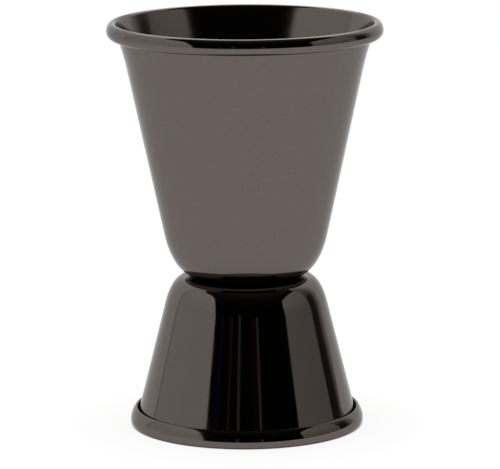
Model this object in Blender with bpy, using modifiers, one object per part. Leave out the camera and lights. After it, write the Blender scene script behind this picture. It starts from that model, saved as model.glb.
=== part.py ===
"""Double bar jigger: two deep-drawn steel cups, set base to base and spot welded.

Run it in Blender 4.5. Units are metres and +Z is up. The jigger stands on the rim of its
small cup, with the origin on its axis at that rim, and the large cup opens upwards.
"""
import math

import bpy

# Sheet and rims
SHEET = 0.0006                    # thickness of the drawn sheet
FLARE_RADIUS = 0.06               # arc that leads each wall out to its mouth
FOLD_BORE = 0.0001                # inside radius of the fold between that arc and the crown
RIM_LAND = 0.00015                # width of the flat ring on the crown of each curl
CURL_GAP = 0.00033                # free edge of each curl to the wall beside it, at least

# Large cup, with heights measured from the outside of its base
LARGE_HEIGHT = 0.0513             # base to rim
LARGE_RIM_RADIUS = 0.0277         # outside of the curl
LARGE_BASE_FLAT = 0.0103          # radius of the flat middle of the base
LARGE_CORNER_WIDTH = 0.0068       # outside of the rounded corner, radially
LARGE_CORNER_DEPTH = 0.0145       # the same corner, up the wall
LARGE_FLARE_TURN = math.radians(9.4)  # how far the flare turns the wall out
LARGE_BORE_WIDTH = 0.00052        # hollow under the curl, from its crown outwards
LARGE_BORE_DEPTH = 0.00115        # the same hollow, along the axis
LARGE_RETURN_BORE = 0.00085       # inside radius of the curl's way back to the wall

# Small cup, measured in the same way
SMALL_HEIGHT = 0.0304
SMALL_RIM_RADIUS = 0.02359
SMALL_BASE_FLAT = 0.01235
SMALL_CORNER_WIDTH = 0.00481
SMALL_CORNER_DEPTH = 0.01224
SMALL_FLARE_TURN = math.radians(4.3)
SMALL_BORE_WIDTH = 0.00013
SMALL_BORE_DEPTH = 0.00034
SMALL_RETURN_BORE = 0.00335

# Spot welds between the bases
WELD_COUNT = 3
WELD_RADIUS = 0.0022
WELD_GAP = 0.0003                 # the weld metal keeps the bases this far apart
WELD_EDGE = 0.0024                # flat left between a weld and the edge of the base

# Fineness of the round shapes
TURN_STEPS = 48
CORNER_SEGMENTS = 8
FLARE_SEGMENTS = 4
CROWN_SEGMENTS = 4                # on each side of a curl's crown
RETURN_SEGMENTS = 5
WELD_SIDES = 32
MERGE = 0.00001                   # points closer than this are one point
SHARP_ANGLE = math.radians(30)    # edges with a greater angle stay sharp
STEEPEST_TAPER = math.radians(60)  # the search for a wall's taper starts from this, to either side
TAPER_ROUNDS = 60                 # halvings in that search

# Finishes: linear colour, roughness and metallic value
BLACK_NICKEL = ((0.136, 0.112, 0.105), 0.06, 1.0)
WELD_STEEL = ((0.32, 0.31, 0.30), 0.45, 1.0)

QUARTER_TURN = math.pi / 2


def arc(centre, half_width, half_depth, start, stop, segments):
    """Points (radius, height) on an oval, from angle start to angle stop, both included."""
    step = (stop - start) / segments
    angles = [start + step * i for i in range(segments + 1)]
    across, up = centre
    return [(across + half_width * math.cos(a), up + half_depth * math.sin(a)) for a in angles]


def along(point, taper):
    """How far out a point lies, measured square to a wall with this taper."""
    return point[0] * math.cos(taper) - point[1] * math.sin(taper)


def oval_reach(half_width, half_depth, taper):
    """Distance from an oval's centre to its tangent that has this taper."""
    return math.hypot(half_width * math.cos(taper), half_depth * math.sin(taper))


def flare_middle(fold_centre, slope):
    """Centre of the flare's arc, for the slope at which it meets the fold."""
    reach = FLARE_RADIUS - FOLD_BORE - SHEET
    return (fold_centre[0] + reach * math.cos(slope), fold_centre[1] - reach * math.sin(slope))


def wall_taper(corner_centre, corner_size, fold_centre, flare_turn):
    """Angle from the vertical of the wall that touches the corner's outside and the flare's inside."""
    low, high = -STEEPEST_TAPER, STEEPEST_TAPER
    for _ in range(TAPER_ROUNDS):
        taper = (low + high) / 2
        corner_face = along(corner_centre, taper) + oval_reach(*corner_size, taper)
        flare_face = along(flare_middle(fold_centre, taper + flare_turn), taper) - FLARE_RADIUS
        if corner_face < flare_face:
            low = taper
        else:
            high = taper
    return taper


def cup_profile(height, rim_radius, base_flat, corner_width, corner_depth, flare_turn,
                bore_width, bore_depth, return_bore):
    """Half section of a cup's inner face, mouth up, from the axis to the free edge of its curl.

    Past the crown of the rim that face is the outside of the curl.
    """
    corner_size = (corner_width - SHEET, corner_depth - SHEET)
    corner_centre = (base_flat, corner_depth)
    crown_size = (bore_width + SHEET, bore_depth + SHEET)
    crown_centre = (rim_radius - crown_size[0], height - crown_size[1])
    fold_radius = FOLD_BORE + SHEET
    fold_centre = (crown_centre[0] - RIM_LAND, height - fold_radius)

    taper = wall_taper(corner_centre, corner_size, fold_centre, flare_turn)
    corner_end = math.atan2(-corner_size[1] * math.sin(taper), corner_size[0] * math.cos(taper))
    flare_start, flare_end = math.pi - taper, math.pi - taper - flare_turn
    flare_centre = flare_middle(fold_centre, taper + flare_turn)

    # The free edge ends at the gap from the back of the flare, which is round the flare's centre.
    return_radius = return_bore + SHEET
    return_centre = (rim_radius - return_radius, crown_centre[1])
    across, up = flare_centre[0] - return_centre[0], return_centre[1] - flare_centre[1]
    apart = math.hypot(across, up)
    limit = FLARE_RADIUS - SHEET - CURL_GAP
    nearest_radius = return_bore if apart > limit else return_radius
    past = math.acos((apart ** 2 + nearest_radius ** 2 - limit ** 2) / (2 * apart * nearest_radius))
    return_end = math.atan2(up, across) + past

    # The floor's second point keeps its shading flat up to the corner.
    floor = [(0.0, SHEET), (base_flat - 2 * SHEET, SHEET)]
    corner = arc(corner_centre, *corner_size, -QUARTER_TURN, corner_end, CORNER_SEGMENTS)
    flare = arc(flare_centre, FLARE_RADIUS, FLARE_RADIUS, flare_start, flare_end, FLARE_SEGMENTS)
    fold = arc(fold_centre, fold_radius, fold_radius, flare_end, QUARTER_TURN, CROWN_SEGMENTS)
    crown = arc(crown_centre, *crown_size, QUARTER_TURN, 0.0, CROWN_SEGMENTS)
    way_back = arc(return_centre, return_radius, return_radius, 0.0, -return_end, RETURN_SEGMENTS)
    return floor + corner + flare + fold[1:] + crown + way_back[1:]


def principled(name, finish):
    """A plain metal material from a finish."""
    colour, roughness, metallic = finish
    material = bpy.data.materials.new(name)
    material.use_nodes = True
    shader = material.node_tree.nodes["Principled BSDF"]
    shader.inputs["Base Color"].default_value = (*colour, 1.0)
    shader.inputs["Roughness"].default_value = roughness
    shader.inputs["Metallic"].default_value = metallic
    return material


def add_cup(name, profile, collection, parent):
    """Turn a half section round +Z, then give the sheet its thickness behind that face."""
    mesh = bpy.data.meshes.new(name)
    points = [(radius, 0.0, height) for radius, height in profile]
    mesh.from_pydata(points, [(i, i + 1) for i in range(len(points) - 1)], [])
    mesh.materials.append(principled(name + "_black_nickel", BLACK_NICKEL))
    cup = bpy.data.objects.new(name, mesh)
    collection.objects.link(cup)
    cup.parent = parent

    turn = cup.modifiers.new("turn", 'SCREW')
    turn.steps = TURN_STEPS
    turn.render_steps = TURN_STEPS
    turn.use_merge_vertices = True
    turn.merge_threshold = MERGE
    turn.use_smooth_shade = True
    sheet = cup.modifiers.new("sheet", 'SOLIDIFY')
    sheet.thickness = SHEET
    sheet.offset = -1.0
    sheet.use_even_offset = True
    return cup


def add_weld(name, angle, circle_radius, material, collection, parent):
    """One button of weld metal, face to face with both bases."""
    bpy.ops.mesh.primitive_cylinder_add(vertices=WELD_SIDES, radius=WELD_RADIUS, depth=WELD_GAP)
    weld = bpy.context.object
    weld.location.x = circle_radius * math.cos(angle)
    weld.location.y = circle_radius * math.sin(angle)
    weld.location.z = SMALL_HEIGHT + WELD_GAP / 2
    weld.name = name
    weld.data.name = name
    weld.data.materials.append(material)
    weld.data.shade_smooth()
    weld.data.set_sharp_from_angle(angle=SHARP_ANGLE)
    for holder in list(weld.users_collection):
        holder.objects.unlink(weld)
    collection.objects.link(weld)
    weld.parent = parent


for old in list(bpy.data.objects):
    bpy.data.objects.remove(old)

jigger = bpy.data.collections.new("bar_jigger")
bpy.context.scene.collection.children.link(jigger)
stand_point = bpy.data.objects.new("stand_point", None)
jigger.objects.link(stand_point)

large_profile = cup_profile(
    LARGE_HEIGHT, LARGE_RIM_RADIUS, LARGE_BASE_FLAT, LARGE_CORNER_WIDTH, LARGE_CORNER_DEPTH,
    LARGE_FLARE_TURN, LARGE_BORE_WIDTH, LARGE_BORE_DEPTH, LARGE_RETURN_BORE)
large_cup = add_cup("large_cup", large_profile, jigger, stand_point)
large_cup.location.z = SMALL_HEIGHT + WELD_GAP

small_profile = cup_profile(
    SMALL_HEIGHT, SMALL_RIM_RADIUS, SMALL_BASE_FLAT, SMALL_CORNER_WIDTH, SMALL_CORNER_DEPTH,
    SMALL_FLARE_TURN, SMALL_BORE_WIDTH, SMALL_BORE_DEPTH, SMALL_RETURN_BORE)
small_cup = add_cup("small_cup", small_profile, jigger, stand_point)
small_cup.location.z = SMALL_HEIGHT
small_cup.rotation_euler.x = math.pi

weld_circle = min(LARGE_BASE_FLAT, SMALL_BASE_FLAT) - WELD_EDGE - WELD_RADIUS
weld_steel = principled("weld_steel", WELD_STEEL)
for number in range(WELD_COUNT):
    weld_angle = 2 * math.pi * number / WELD_COUNT
    add_weld(f"spot_weld_{number + 1}", weld_angle, weld_circle, weld_steel, jigger, stand_point)
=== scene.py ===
"""Double bar jigger with a dark mirror finish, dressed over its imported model.

Units are metres and +Z is up. The jigger stands on the rim of its small cup, on a pale studio
floor, and the large cup's mouth is up.
"""
import math

import bmesh
import bpy
from mathutils import Euler, Matrix, Vector


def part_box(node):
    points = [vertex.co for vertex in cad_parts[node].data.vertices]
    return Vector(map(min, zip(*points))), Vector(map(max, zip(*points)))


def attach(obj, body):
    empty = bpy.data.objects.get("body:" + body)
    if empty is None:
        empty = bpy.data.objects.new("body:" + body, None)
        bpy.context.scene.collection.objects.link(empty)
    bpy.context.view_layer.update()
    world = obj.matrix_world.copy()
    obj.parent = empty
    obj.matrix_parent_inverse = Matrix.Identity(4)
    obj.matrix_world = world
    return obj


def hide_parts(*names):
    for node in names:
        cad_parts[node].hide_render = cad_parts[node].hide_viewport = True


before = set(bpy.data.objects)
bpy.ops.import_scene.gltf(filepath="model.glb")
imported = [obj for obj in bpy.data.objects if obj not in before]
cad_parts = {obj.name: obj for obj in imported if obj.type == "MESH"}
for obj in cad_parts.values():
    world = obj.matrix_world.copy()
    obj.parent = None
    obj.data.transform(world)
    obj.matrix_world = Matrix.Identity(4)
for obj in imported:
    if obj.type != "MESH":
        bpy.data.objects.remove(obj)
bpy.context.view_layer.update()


# Large cup: the upper measure. One blank of stainless sheet is deep drawn to a tapered cup with a
# wide rounded corner. Its wall flares to the mouth, where it is folded and curled outwards into a
# hollow bead. Polished and plated with black nickel, it is spot welded to the small cup's base.
SHEET = 0.0006                    # thickness of the drawn sheet
FLARE_RADIUS = 0.06               # arc that leads each wall out to its mouth
FOLD_BORE = 0.0001                # inside radius of the fold between that arc and the crown
RIM_LAND = 0.00015                # width of the flat ring on the crown of each curl
CURL_GAP = 0.00033                # free edge of each curl to the wall beside it, at least
STEEPEST_TAPER = math.radians(60)  # the search for a wall's taper starts here, to either side
TAPER_ROUNDS = 60                 # halvings in that search
QUARTER_TURN = math.pi / 2

FLOOR_ROWS = 8                    # rows of faces along each stretch of a section
CORNER_ROWS = 40
WALL_ROWS = 20
FLARE_ROWS = 16
CROWN_ROWS = 14                   # on each side of a curl's crown
RETURN_ROWS = 24
EDGE_ROWS = 8
TURN_STEPS = 256                  # columns of faces round the axis
SEAM_MERGE = 0.000002             # points closer than this are one point

large_low, large_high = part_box("large_cup")
large_height = large_high.z - large_low.z
large_rim_radius = large_high.x
LARGE_BASE_FLAT = 0.0103          # radius of the flat middle of the base
LARGE_CORNER = (0.0068, 0.0145)   # outside of the rounded corner, radially and up the wall
LARGE_FLARE_TURN = math.radians(9.4)  # how far the flare turns the wall out
LARGE_BORE = (0.00052, 0.00115)   # hollow under the crown of the curl, outwards and along the axis
LARGE_RETURN_BORE = 0.00085       # inside radius of the curl's way back to the wall


def straight(start, stop, rows):
    """Points from start to stop, each with the unit normal to the left of that way."""
    run = Vector(stop) - Vector(start)
    normal = Vector((-run.y, run.x)).normalized()
    return [(Vector(start) + run * i / rows, normal) for i in range(rows + 1)]


def oval(centre, size, start, stop, rows, side):
    """Points on an oval between two angles, each with its unit normal, outwards if side is 1."""
    points = []
    for i in range(rows + 1):
        angle = start + (stop - start) * i / rows
        across, up = math.cos(angle), math.sin(angle)
        normal = Vector((across / size[0], up / size[1])).normalized() * side
        points.append((Vector((centre[0] + size[0] * across, centre[1] + size[1] * up)), normal))
    return points


def along(point, taper):
    """How far out a point lies, measured square to a wall with this taper."""
    return point[0] * math.cos(taper) - point[1] * math.sin(taper)


def oval_reach(size, taper):
    """Distance from an oval's centre to its tangent that has this taper."""
    return math.hypot(size[0] * math.cos(taper), size[1] * math.sin(taper))


def flare_middle(fold_middle, slope):
    """Centre of the flare's arc, for the slope at which it meets the fold."""
    reach = FLARE_RADIUS - FOLD_BORE - SHEET
    return (fold_middle[0] + reach * math.cos(slope), fold_middle[1] - reach * math.sin(slope))


def wall_taper(corner_centre, corner_size, fold_middle, flare_turn):
    """Angle from the vertical of the wall that runs from the corner to the flare, touching both."""
    low, high = -STEEPEST_TAPER, STEEPEST_TAPER
    for _ in range(TAPER_ROUNDS):
        taper = (low + high) / 2
        corner_face = along(corner_centre, taper) + oval_reach(corner_size, taper)
        flare_face = along(flare_middle(fold_middle, taper + flare_turn), taper) - FLARE_RADIUS
        if corner_face < flare_face:
            low = taper
        else:
            high = taper
    return taper


def cup_section(height, rim_radius, base_flat, corner, flare_turn, bore, return_bore):
    """Half section of a cup, mouth up, as (radius, height) points from the axis round to the axis.

    It runs along the inner face and over the curl to its free edge, round that edge, and back at
    a sheet's thickness behind.
    """
    corner_size = (corner[0] - SHEET, corner[1] - SHEET)
    corner_centre = (base_flat, corner[1])
    crown_size = (bore[0] + SHEET, bore[1] + SHEET)
    crown_centre = (rim_radius - crown_size[0], height - crown_size[1])
    fold_radius = FOLD_BORE + SHEET
    fold_centre = (crown_centre[0] - RIM_LAND, height - fold_radius)

    taper = wall_taper(corner_centre, corner_size, fold_centre, flare_turn)
    corner_end = math.atan2(-corner_size[1] * math.sin(taper), corner_size[0] * math.cos(taper))
    flare_start, flare_end = math.pi - taper, math.pi - taper - flare_turn
    flare_centre = flare_middle(fold_centre, taper + flare_turn)

    # The free edge ends at the gap from the back of the flare, which is round the flare's centre.
    return_radius = return_bore + SHEET
    return_centre = (rim_radius - return_radius, crown_centre[1])
    across, up = flare_centre[0] - return_centre[0], return_centre[1] - flare_centre[1]
    apart = math.hypot(across, up)
    limit = FLARE_RADIUS - SHEET - CURL_GAP
    nearest_radius = return_bore if apart > limit else return_radius
    past = math.acos((apart ** 2 + nearest_radius ** 2 - limit ** 2) / (2 * apart * nearest_radius))
    return_end = math.atan2(up, across) + past

    bowl = oval(corner_centre, corner_size, -QUARTER_TURN, corner_end, CORNER_ROWS, -1)
    flare = oval(flare_centre, (FLARE_RADIUS,) * 2, flare_start, flare_end, FLARE_ROWS, 1)
    fold = oval(fold_centre, (fold_radius,) * 2, flare_end, QUARTER_TURN, CROWN_ROWS, 1)
    crown = oval(crown_centre, crown_size, QUARTER_TURN, 0.0, CROWN_ROWS, 1)
    way_back = oval(return_centre, (return_radius,) * 2, 0.0, -return_end, RETURN_ROWS, 1)
    floor = straight((0.0, SHEET), bowl[0][0], FLOOR_ROWS)
    wall = straight(bowl[-1][0], flare[0][0], WALL_ROWS)
    face = floor[:-1] + bowl + wall[1:-1] + flare + fold[1:] + crown + way_back[1:]

    edge_centre = way_back[-1][0] - way_back[-1][1] * SHEET / 2
    edge = oval(edge_centre, (SHEET / 2,) * 2, -return_end, -return_end - math.pi, EDGE_ROWS, 1)
    front = [point for point, normal in face]
    behind = [point - normal * SHEET for point, normal in reversed(face)]
    return front + [point for point, normal in edge[1:-1]] + behind


class Wire:
    """An output in a node tree. Sums with it add Math nodes, and node() adds any other node."""

    def __init__(self, tree, socket=None):
        self.tree = tree
        self.socket = socket

    def node(self, kind, settings=None, sockets=None, output=0):
        """Add a node, with its settings and then its sockets' values or links. Give one output."""
        new = self.tree.nodes.new(kind)
        for name, value in (settings or {}).items():
            setattr(new, name, value)
        for name, value in (sockets or {}).items():
            if isinstance(value, Wire):
                self.tree.links.new(value.socket, new.inputs[name])
            else:
                new.inputs[name].default_value = value
        return Wire(self.tree, new.outputs[output] if new.outputs else None)

    def sum(self, operation, *values):
        """Add a Math node for an operation on these values or links."""
        return self.node("ShaderNodeMath", {"operation": operation}, dict(enumerate(values)))

    def __add__(self, other):
        return self.sum("ADD", self, other)

    def __sub__(self, other):
        return self.sum("SUBTRACT", self, other)

    def __rsub__(self, other):
        return self.sum("SUBTRACT", other, self)

    def __mul__(self, other):
        return self.sum("MULTIPLY", self, other)

    def __truediv__(self, other):
        return self.sum("DIVIDE", self, other)

    def __rtruediv__(self, other):
        return self.sum("DIVIDE", other, self)

    __radd__ = __add__
    __rmul__ = __mul__


def lathe_nodes():
    """Geometry nodes that turn a section's points, in order, round +Z into one closed skin."""
    tree = bpy.data.node_groups.new("lathe", "GeometryNodeTree")
    inputs = (("Section", "Geometry"), ("Steps", "Int"), ("Merge", "Float"), ("Finish", "Material"))
    for name, kind in inputs:
        tree.interface.new_socket(name, in_out="INPUT", socket_type="NodeSocket" + kind)
    tree.interface.new_socket("Skin", in_out="OUTPUT", socket_type="NodeSocketGeometry")
    entry = tree.nodes.new("NodeGroupInput")
    section, steps, merge, finish = (Wire(tree, entry.outputs[name]) for name, kind in inputs)

    rows = section.node(
        "GeometryNodeAttributeDomainSize", {"component": "MESH"}, {"Geometry": section})
    sheet = section.node("GeometryNodeMeshGrid", {}, {"Vertices X": steps + 1, "Vertices Y": rows})
    index = section.node("GeometryNodeInputIndex")
    row = section.node("FunctionNodeIntegerMath", {"operation": "MODULO"}, {0: index, 1: rows})
    column = section.node(
        "FunctionNodeIntegerMath", {"operation": "DIVIDE_FLOOR"}, {0: index, 1: rows})
    place = section.node("GeometryNodeInputPosition")
    point = section.node("GeometryNodeSampleIndex", {"data_type": "FLOAT_VECTOR"},
                         {"Geometry": section, "Value": place, "Index": row})
    turned = section.node("ShaderNodeVectorRotate", {"rotation_type": "Z_AXIS"},
                          {"Vector": point, "Angle": column * (2 * math.pi) / steps})
    skin = section.node("GeometryNodeSetPosition", {}, {"Geometry": sheet, "Position": turned})
    closed = section.node("GeometryNodeMergeByDistance", {}, {"Geometry": skin, "Distance": merge})
    smooth = section.node("GeometryNodeSetShadeSmooth", {}, {"Geometry": closed})
    real = section.node("GeometryNodeRealizeInstances", {}, {"Geometry": smooth})
    dressed = section.node("GeometryNodeSetMaterial", {}, {"Geometry": real, "Material": finish})
    section.node("NodeGroupOutput", {}, {"Skin": dressed})
    return tree


def turned_piece(name, section, material):
    """A closed turned mesh from a half section, as a plain object at the origin."""
    line = bpy.data.meshes.new(name + "_section")
    line.from_pydata([(point.x, 0.0, point.y) for point in section], [], [])
    piece = bpy.data.objects.new(name, line)
    bpy.context.scene.collection.objects.link(piece)
    lathe = piece.modifiers.new("lathe", 'NODES')
    lathe.node_group = lathe_nodes()
    sockets = {item.name: item.identifier for item in lathe.node_group.interface.items_tree}
    lathe[sockets["Steps"]] = TURN_STEPS
    lathe[sockets["Merge"]] = SEAM_MERGE
    lathe[sockets["Finish"]] = material

    evaluated = piece.evaluated_get(bpy.context.evaluated_depsgraph_get())
    mesh = bpy.data.meshes.new_from_object(evaluated)
    piece.modifiers.remove(lathe)
    skin = bmesh.new()
    skin.from_mesh(mesh)
    bmesh.ops.recalc_face_normals(skin, faces=skin.faces)
    skin.to_mesh(mesh)
    skin.free()
    mesh.name = name
    piece.data = mesh
    bpy.data.meshes.remove(line)
    return piece


NICKEL_WARM = (0.152, 0.126, 0.110)    # black nickel seen straight on, where the plate is warmest
NICKEL_COOL = (0.142, 0.120, 0.108)    # and where it is coolest
NICKEL_DULL = (0.114, 0.095, 0.085)    # its fine spots
NICKEL_WORN = (0.190, 0.166, 0.156)    # plate rubbed thin on the crown of a rim
NICKEL_EDGE = (0.69, 0.69, 0.70)       # tint of its reflection at a glancing angle
PLATE_DETAIL = 3.0                     # octaves of noise in its tone, spots and polishing lines
TONE_SCALE = 45                        # patches of tone, each about 20 mm
SPOT_SCALE = 2600                      # those spots, each about 0.4 mm
WAVE_SCALE = 120                       # waves that the drawing leaves in the sheet, each about 8 mm
WAVE_DETAIL = 1.0
WAVE_HEIGHT = 0.0000035
POLISH_ROUGHNESS = 0.045
LINE_SCALE = 2600                      # polishing lines per metre along the section
LINE_LENGTH_SCALE = 25                 # and along their length
LINE_HEIGHT = 0.00000004
LINE_ROUGHNESS = 0.03
SMUDGE_SCALE = 70                      # wiping marks, each about 14 mm
SMUDGE_DETAIL = 4.0
SMUDGE_SPAN = (0.5, 0.75)              # noise values at which a mark starts and is full
SMUDGE_ROUGHNESS = 0.05
BORE_ROUGHNESS = 0.09                  # the inside, which a polishing wheel reaches less well
BORE_TURN = (-0.7, -0.2)               # how far a face has to turn to the axis to count as inside
WEAR_REACH = 0.0007                    # how far below the crown the plate is rubbed


def metal(name):
    """A new metal material, its shader, and places on the object in its node tree."""
    material = bpy.data.materials.new(name)
    material.use_nodes = True
    shader = material.node_tree.nodes["Principled BSDF"]
    shader.inputs["Metallic"].default_value = 1.0
    return material, shader, Wire(material.node_tree).node("ShaderNodeTexCoord", output="Object")


def noise(place, scale, detail):
    """Noise at a place, at a scale per metre and with octaves of detail."""
    return place.node("ShaderNodeTexNoise", {}, {"Vector": place, "Scale": scale, "Detail": detail})


def eased(value, span, at_start, at_end):
    """A value that goes softly from at_start to at_end while another crosses a span."""
    return value.node("ShaderNodeMapRange", {"interpolation_type": "SMOOTHSTEP"},
                      dict(enumerate((value, *span, at_start, at_end))))


def mixed(share, first, second):
    """A colour between two, by the share of the second. A Mix node takes colours on 6 and 7."""
    first, second = (end if isinstance(end, Wire) else (*end, 1.0) for end in (first, second))
    return share.node(
        "ShaderNodeMix", {"data_type": "RGBA"}, {0: share, 6: first, 7: second}, output=2)


def finish_metal(shader, colour, roughness, relief):
    """Give a shader what changes over its surface. The relief is a height in metres."""
    normal = relief.node("ShaderNodeBump", {}, {"Strength": 1.0, "Distance": 1.0, "Height": relief})
    for name, wire in (("Base Color", colour), ("Roughness", roughness), ("Normal", normal)):
        wire.tree.links.new(wire.socket, shader.inputs[name])


def black_nickel(name, rim_level, shift):
    """Mirror-polished black nickel plate. Its pattern moves by shift, so that the cups differ."""
    material, shader, coords = metal(name)
    shader.inputs["Specular Tint"].default_value = (*NICKEL_EDGE, 1.0)

    moved = coords.node(
        "ShaderNodeVectorMath", {"operation": "ADD"}, {0: coords, 1: (shift, shift, shift)})
    parts = coords.node("ShaderNodeSeparateXYZ", {}, {0: coords})
    x, y, z = (Wire(coords.tree, socket) for socket in parts.socket.node.outputs)
    radius = x.sum("SQRT", x * x + y * y)
    facing = coords.node("ShaderNodeSeparateXYZ", {}, {
        0: coords.node("ShaderNodeNewGeometry", output="Normal")})
    face_x, face_y = (Wire(coords.tree, socket) for socket in facing.socket.node.outputs[:2])
    bore = eased((x * face_x + y * face_y) / radius, BORE_TURN, 1.0, 0.0)

    tone = noise(moved, TONE_SCALE, PLATE_DETAIL)
    spots = noise(moved, SPOT_SCALE, PLATE_DETAIL)
    waves = noise(moved, WAVE_SCALE, WAVE_DETAIL)
    wiped = eased(noise(moved, SMUDGE_SCALE, SMUDGE_DETAIL), SMUDGE_SPAN, 0.0, 1.0)
    line_place = coords.node("ShaderNodeCombineXYZ", {}, {
        0: x * LINE_LENGTH_SCALE, 1: y * LINE_LENGTH_SCALE, 2: (z + radius) * LINE_SCALE})
    lines = noise(line_place, 1.0, PLATE_DETAIL)
    rubbed = eased(z.sum("ABSOLUTE", z - rim_level), (0.0, WEAR_REACH), 1.0, 0.0)

    plate = mixed(spots, mixed(tone, NICKEL_COOL, NICKEL_WARM), NICKEL_DULL)
    colour = mixed(rubbed * lines, plate, NICKEL_WORN)
    wear = lines * LINE_ROUGHNESS + wiped * SMUDGE_ROUGHNESS
    roughness = wear + bore * BORE_ROUGHNESS + POLISH_ROUGHNESS
    finish_metal(shader, colour, roughness, waves * WAVE_HEIGHT + lines * LINE_HEIGHT)
    return material


def stand(section, base_level, way):
    """A section's points at their height on the jigger, mouth up if way is 1, down if it is -1."""
    return [Vector((point.x, base_level + way * point.y)) for point in section]


large_section = cup_section(
    large_height, large_rim_radius, LARGE_BASE_FLAT, LARGE_CORNER, LARGE_FLARE_TURN, LARGE_BORE,
    LARGE_RETURN_BORE)
large_cup = turned_piece(
    "large_cup_polished", stand(large_section, large_low.z, 1),
    black_nickel("large_cup_black_nickel", large_high.z, 0.0))
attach(large_cup, "root")
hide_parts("large_cup")


# Small cup: the lower measure, mouth down. A second drawn blank, shorter and more tapered, with a
# flatter curl that the jigger stands on. It has the same polish and plate as the large cup.
small_low, small_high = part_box("small_cup")
small_height = small_high.z - small_low.z
small_rim_radius = small_high.x
SMALL_BASE_FLAT = 0.01235
SMALL_CORNER = (0.00481, 0.01224)
SMALL_FLARE_TURN = math.radians(4.3)
SMALL_BORE = (0.00013, 0.00034)
SMALL_RETURN_BORE = 0.00335
SMALL_SHIFT = 0.37                # moves the finish's pattern away from the large cup's

small_section = cup_section(
    small_height, small_rim_radius, SMALL_BASE_FLAT, SMALL_CORNER, SMALL_FLARE_TURN, SMALL_BORE,
    SMALL_RETURN_BORE)
small_cup = turned_piece(
    "small_cup_polished", stand(small_section, small_high.z, -1),
    black_nickel("small_cup_black_nickel", small_low.z, SMALL_SHIFT))
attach(small_cup, "root")
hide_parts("small_cup")


# Spot welds: buttons of fused steel that hold the two bases together, made by resistance welding
# after the cups are drawn. They lie hidden between the bases, bare and dull, with a heat tint.
WELD_STEEL = (0.33, 0.31, 0.29)
WELD_TINT = (0.21, 0.16, 0.12)    # straw and brown scale left by the heat
WELD_ROUGHNESS = 0.38
WELD_GRAIN_SCALE = 2200           # grains of about 0.5 mm
WELD_GRAIN_DETAIL = 4.0
WELD_GRAIN_ROUGHNESS = 0.25
WELD_GRAIN_HEIGHT = 0.00001


def weld_steel():
    """Bare weld metal with a mottled heat tint and a coarse grain."""
    material, shader, coords = metal("weld_steel")
    grain = noise(coords, WELD_GRAIN_SCALE, WELD_GRAIN_DETAIL)
    finish_metal(shader, mixed(grain, WELD_STEEL, WELD_TINT),
                 grain * WELD_GRAIN_ROUGHNESS + WELD_ROUGHNESS, grain * WELD_GRAIN_HEIGHT)
    return material


weld_finish = weld_steel()
for name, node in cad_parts.items():
    if name.startswith("spot_weld"):
        node.data.materials.clear()
        node.data.materials.append(weld_finish)


# Studio: a white floor that goes on as a white surround, with a soft light overhead. Screens that
# only reflections see stand round it, for the mirror finish: a bright wall at the left, a dim one
# at the right, a bright panel behind, and a dark room in front that goes on as a dark ceiling.
FLOOR_RADIUS = 3.0
FLOOR_SIDES = 96
FLOOR_COLOUR = (0.8, 0.8, 0.8)
FLOOR_GLOW = 0.77                 # what the eye and reflections see of it, beside lamp light
CONTACT_SHADE_EDGES = (0.0229, 0.0237)     # painted contact shade: under the jigger the floor's glow fades out, between these radii
SURROUND_DIFFUSE = 0.15           # how strongly the white surround lights what is dull


def seen_share(tree):
    """1 for what the eye sees straight, in a reflection or through glass, and 0 for other light."""
    outputs = Wire(tree).node("ShaderNodeLightPath").socket.node.outputs
    kinds = ("Is Camera Ray", "Is Glossy Ray", "Is Transmission Ray")
    straight_on, reflected, through = (Wire(tree, outputs[kind]) for kind in kinds)
    return through.sum("MAXIMUM", straight_on.sum("MAXIMUM", straight_on, reflected), through)


floor_white = bpy.data.materials.new("floor_white")
floor_white.use_nodes = True
floor_tree = floor_white.node_tree
floor_shader = floor_tree.nodes["Principled BSDF"]
floor_shader.inputs["Base Color"].default_value = (*FLOOR_COLOUR, 1.0)
floor_shader.inputs["Roughness"].default_value = 1.0
floor_shader.inputs["Specular IOR Level"].default_value = 0.0
floor_shader.inputs["Emission Color"].default_value = (1.0, 1.0, 1.0, 1.0)
floor_place = Wire(floor_tree).node("ShaderNodeTexCoord", output="Object")
floor_reach = floor_place.node(
    "ShaderNodeVectorMath", {"operation": "LENGTH"}, {0: floor_place}, output="Value")
# the floor's even glow, faded to nothing under the jigger's rim as a painted contact shade
floor_glow_and_contact_shade = seen_share(floor_tree) * eased(floor_reach, CONTACT_SHADE_EDGES, 0.0, 1.0) * FLOOR_GLOW
floor_tree.links.new(floor_glow_and_contact_shade.socket, floor_shader.inputs["Emission Strength"])

floor_disc = bmesh.new()
bmesh.ops.create_circle(floor_disc, cap_ends=True, radius=FLOOR_RADIUS, segments=FLOOR_SIDES)
floor_mesh = bpy.data.meshes.new("floor")
floor_disc.to_mesh(floor_mesh)
floor_disc.free()
floor_mesh.materials.append(floor_white)
floor = bpy.data.objects.new("floor", floor_mesh)
bpy.context.scene.collection.objects.link(floor)

world = bpy.data.worlds.new("white_surround")
world.use_nodes = True
bpy.context.scene.world = world
surround = world.node_tree.nodes["Background"]
surround.inputs["Color"].default_value = (1.0, 1.0, 1.0, 1.0)
surround_strength = seen_share(world.node_tree) * (1.0 - SURROUND_DIFFUSE) + SURROUND_DIFFUSE
world.node_tree.links.new(surround_strength.socket, surround.inputs["Strength"])

LAMP_SIZE = 1.0                   # a square panel
LAMP_HEIGHT = 1.3
LAMP_WATTS = 4.0

lamp = bpy.data.lights.new("overhead_light", 'AREA')
lamp.size = LAMP_SIZE
lamp.energy = LAMP_WATTS
overhead_light = bpy.data.objects.new("overhead_light", lamp)
overhead_light.location.z = LAMP_HEIGHT
overhead_light.visible_camera = False
overhead_light.visible_glossy = False
bpy.context.scene.collection.objects.link(overhead_light)

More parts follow.
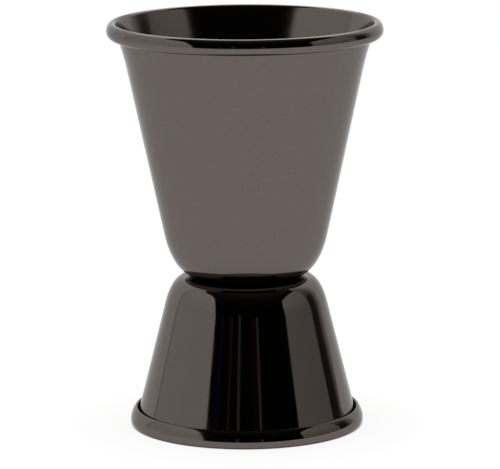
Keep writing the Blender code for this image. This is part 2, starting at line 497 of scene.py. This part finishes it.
SCREEN_COLUMNS = 24               # columns of faces across a screen
THING_DISTANCE = 1.0              # each kind of screen to the middle of the floor
ROOM_DISTANCE = 1.1
WALL_DISTANCE = 1.2
PANEL_DISTANCE = 1.3
NEUTRAL = (1.0, 1.0, 1.0)
ROOM_TINT = (1.0, 0.86, 0.8)
GAP_TINT = (1.0, 0.86, 0.76)


def reflected_screen(name, distance, colour, rows):
    """A curved screen at this distance round the jigger, that only reflections see.

    A row is (lift, left turn, its brightness, right turn, its brightness), with the lift from the
    floor and the turns from the camera's side, to the right, in degrees.
    """
    material = bpy.data.materials.new(name)
    material.use_nodes = True
    material.cycles.emission_sampling = 'NONE'
    tree = material.node_tree
    tree.nodes.clear()
    level = Wire(tree).node("ShaderNodeAttribute", {"attribute_name": "brightness"}, output="Fac")
    glow = level.node("ShaderNodeEmission", {}, {"Color": (*colour, 1.0), "Strength": level})
    glow.node("ShaderNodeOutputMaterial", {}, {"Surface": glow})

    points, levels = [], []
    for lift, left, left_level, right, right_level in rows:
        reach = distance * math.cos(math.radians(lift))
        height = distance * math.sin(math.radians(lift))
        for column in range(SCREEN_COLUMNS + 1):
            share = column / SCREEN_COLUMNS
            turn = math.radians(left + (right - left) * share)
            points.append((reach * math.sin(turn), -reach * math.cos(turn), height))
            levels.append(left_level + (right_level - left_level) * share)
    width = SCREEN_COLUMNS + 1
    corners = [i for i in range(width * (len(rows) - 1)) if i % width < SCREEN_COLUMNS]
    mesh = bpy.data.meshes.new(name)
    mesh.from_pydata(points, [], [(i, i + 1, i + 1 + width, i + width) for i in corners])
    mesh.attributes.new("brightness", 'FLOAT', 'POINT').data.foreach_set("value", levels)
    mesh.materials.append(material)
    screen = bpy.data.objects.new(name, mesh)
    screen.visible_camera = False
    screen.visible_diffuse = False
    screen.visible_shadow = False
    bpy.context.scene.collection.objects.link(screen)


reflected_screen("dark_room", ROOM_DISTANCE, ROOM_TINT, [
    (0, -42, 0.004, 56, 0.004), (14, -44, 0.004, 57, 0.004), (25, -47, 0.004, 57, 0.004),
    (35, -52, 0.006, 61, 0.006), (42, -57, 0.01, 76, 0.01), (45, -61, 0.012, 104, 0.012),
    (49, -70, 0.012, 109, 0.02), (51, -90, 0.014, 111, 0.025), (53, -103, 0.016, 115, 0.03),
    (57, -109, 0.018, 125, 0.035), (62, -122, 0.02, 142, 0.04), (66, -142, 0.03, 160, 0.04),
    (70, -180, 0.05, 180, 0.05), (90, -180, 0.09, 180, 0.09)])
reflected_screen("left_wall", WALL_DISTANCE, NEUTRAL, [
    (0, -113, 0.84, -40, 0.78), (20, -113, 0.84, -40, 0.78), (38, -113, 0.9, -40, 0.92),
    (54, -113, 0.96, -40, 1.0)])
reflected_screen("left_gap", WALL_DISTANCE, NEUTRAL, [
    (0, -117, 0.68, -113, 0.68), (54, -117, 0.68, -113, 0.68)])
reflected_screen("right_wall", WALL_DISTANCE, NEUTRAL, [
    (0, 50, 0.39, 104, 0.34), (14, 50, 0.43, 104, 0.38), (25, 50, 0.56, 104, 0.48),
    (50, 50, 0.68, 104, 0.52)])
reflected_screen("right_gap", WALL_DISTANCE, GAP_TINT, [
    (0, 104, 0.03, 117, 0.05), (20, 104, 0.05, 117, 0.09), (27, 104, 0.28, 117, 0.3),
    (50, 104, 0.5, 117, 0.55)])
reflected_screen("right_corner", WALL_DISTANCE, NEUTRAL, [
    (0, 117, 0.07, 132, 0.9), (20, 117, 0.11, 132, 0.9), (27, 117, 0.3, 132, 0.92),
    (50, 117, 0.55, 132, 0.95)])
reflected_screen("back_panel", PANEL_DISTANCE, NEUTRAL, [
    (32, 160, 4.0, 200, 4.0), (48, 160, 4.0, 200, 4.0)])

# Stands and cloths in the dark room: name, middle turn, width, top and colour
ROOM_THINGS = (
    ("room_curtain", -33.5, 5.0, 17, (0.009, 0.010, 0.045)),
    ("room_shelf", -20.3, 3.5, 19, (0.034, 0.030, 0.026)),
    ("room_stand", -9.3, 3.0, 20.5, (0.105, 0.098, 0.090)),
    ("room_cloth", 10.0, 6.0, 18, (0.024, 0.007, 0.005)),
    ("room_pole", 14.9, 2.2, 18, (0.145, 0.118, 0.108)))
for name, turn, width, top, colour in ROOM_THINGS:
    left, right = turn - width / 2, turn + width / 2
    reflected_screen(name, THING_DISTANCE, colour, [
        (0, left, 1.0, right, 1.0), (top, left, 1.0, right, 1.0)])


# Camera: a long lens that looks a little down at the jigger from the front. Its place, pitch, roll
# and focal length are fitted to the jigger's outline in the photo.
IMAGE_WIDTH = 500                 # pixels
SENSOR_WIDTH = 36.0               # mm
FOCAL_PIXELS = 3757.6             # focal length, in pixels of that image
CAMERA_PLACE = (0.00082, -0.74355, 0.18196)
CAMERA_PITCH = 0.1903             # below the horizon, in radians
CAMERA_ROLL = math.radians(-0.3)

camera = bpy.data.objects.new("camera", bpy.data.cameras.new("camera"))
camera.data.sensor_width = SENSOR_WIDTH
camera.data.lens = SENSOR_WIDTH * FOCAL_PIXELS / IMAGE_WIDTH
camera.location = CAMERA_PLACE
pitched = Euler((QUARTER_TURN - CAMERA_PITCH, 0.0, 0.0)).to_matrix()
camera.rotation_euler = (pitched @ Matrix.Rotation(CAMERA_ROLL, 3, 'Z')).to_euler()
bpy.context.scene.collection.objects.link(camera)
bpy.context.scene.camera = camera
bpy.context.scene.view_settings.view_transform = 'Standard'
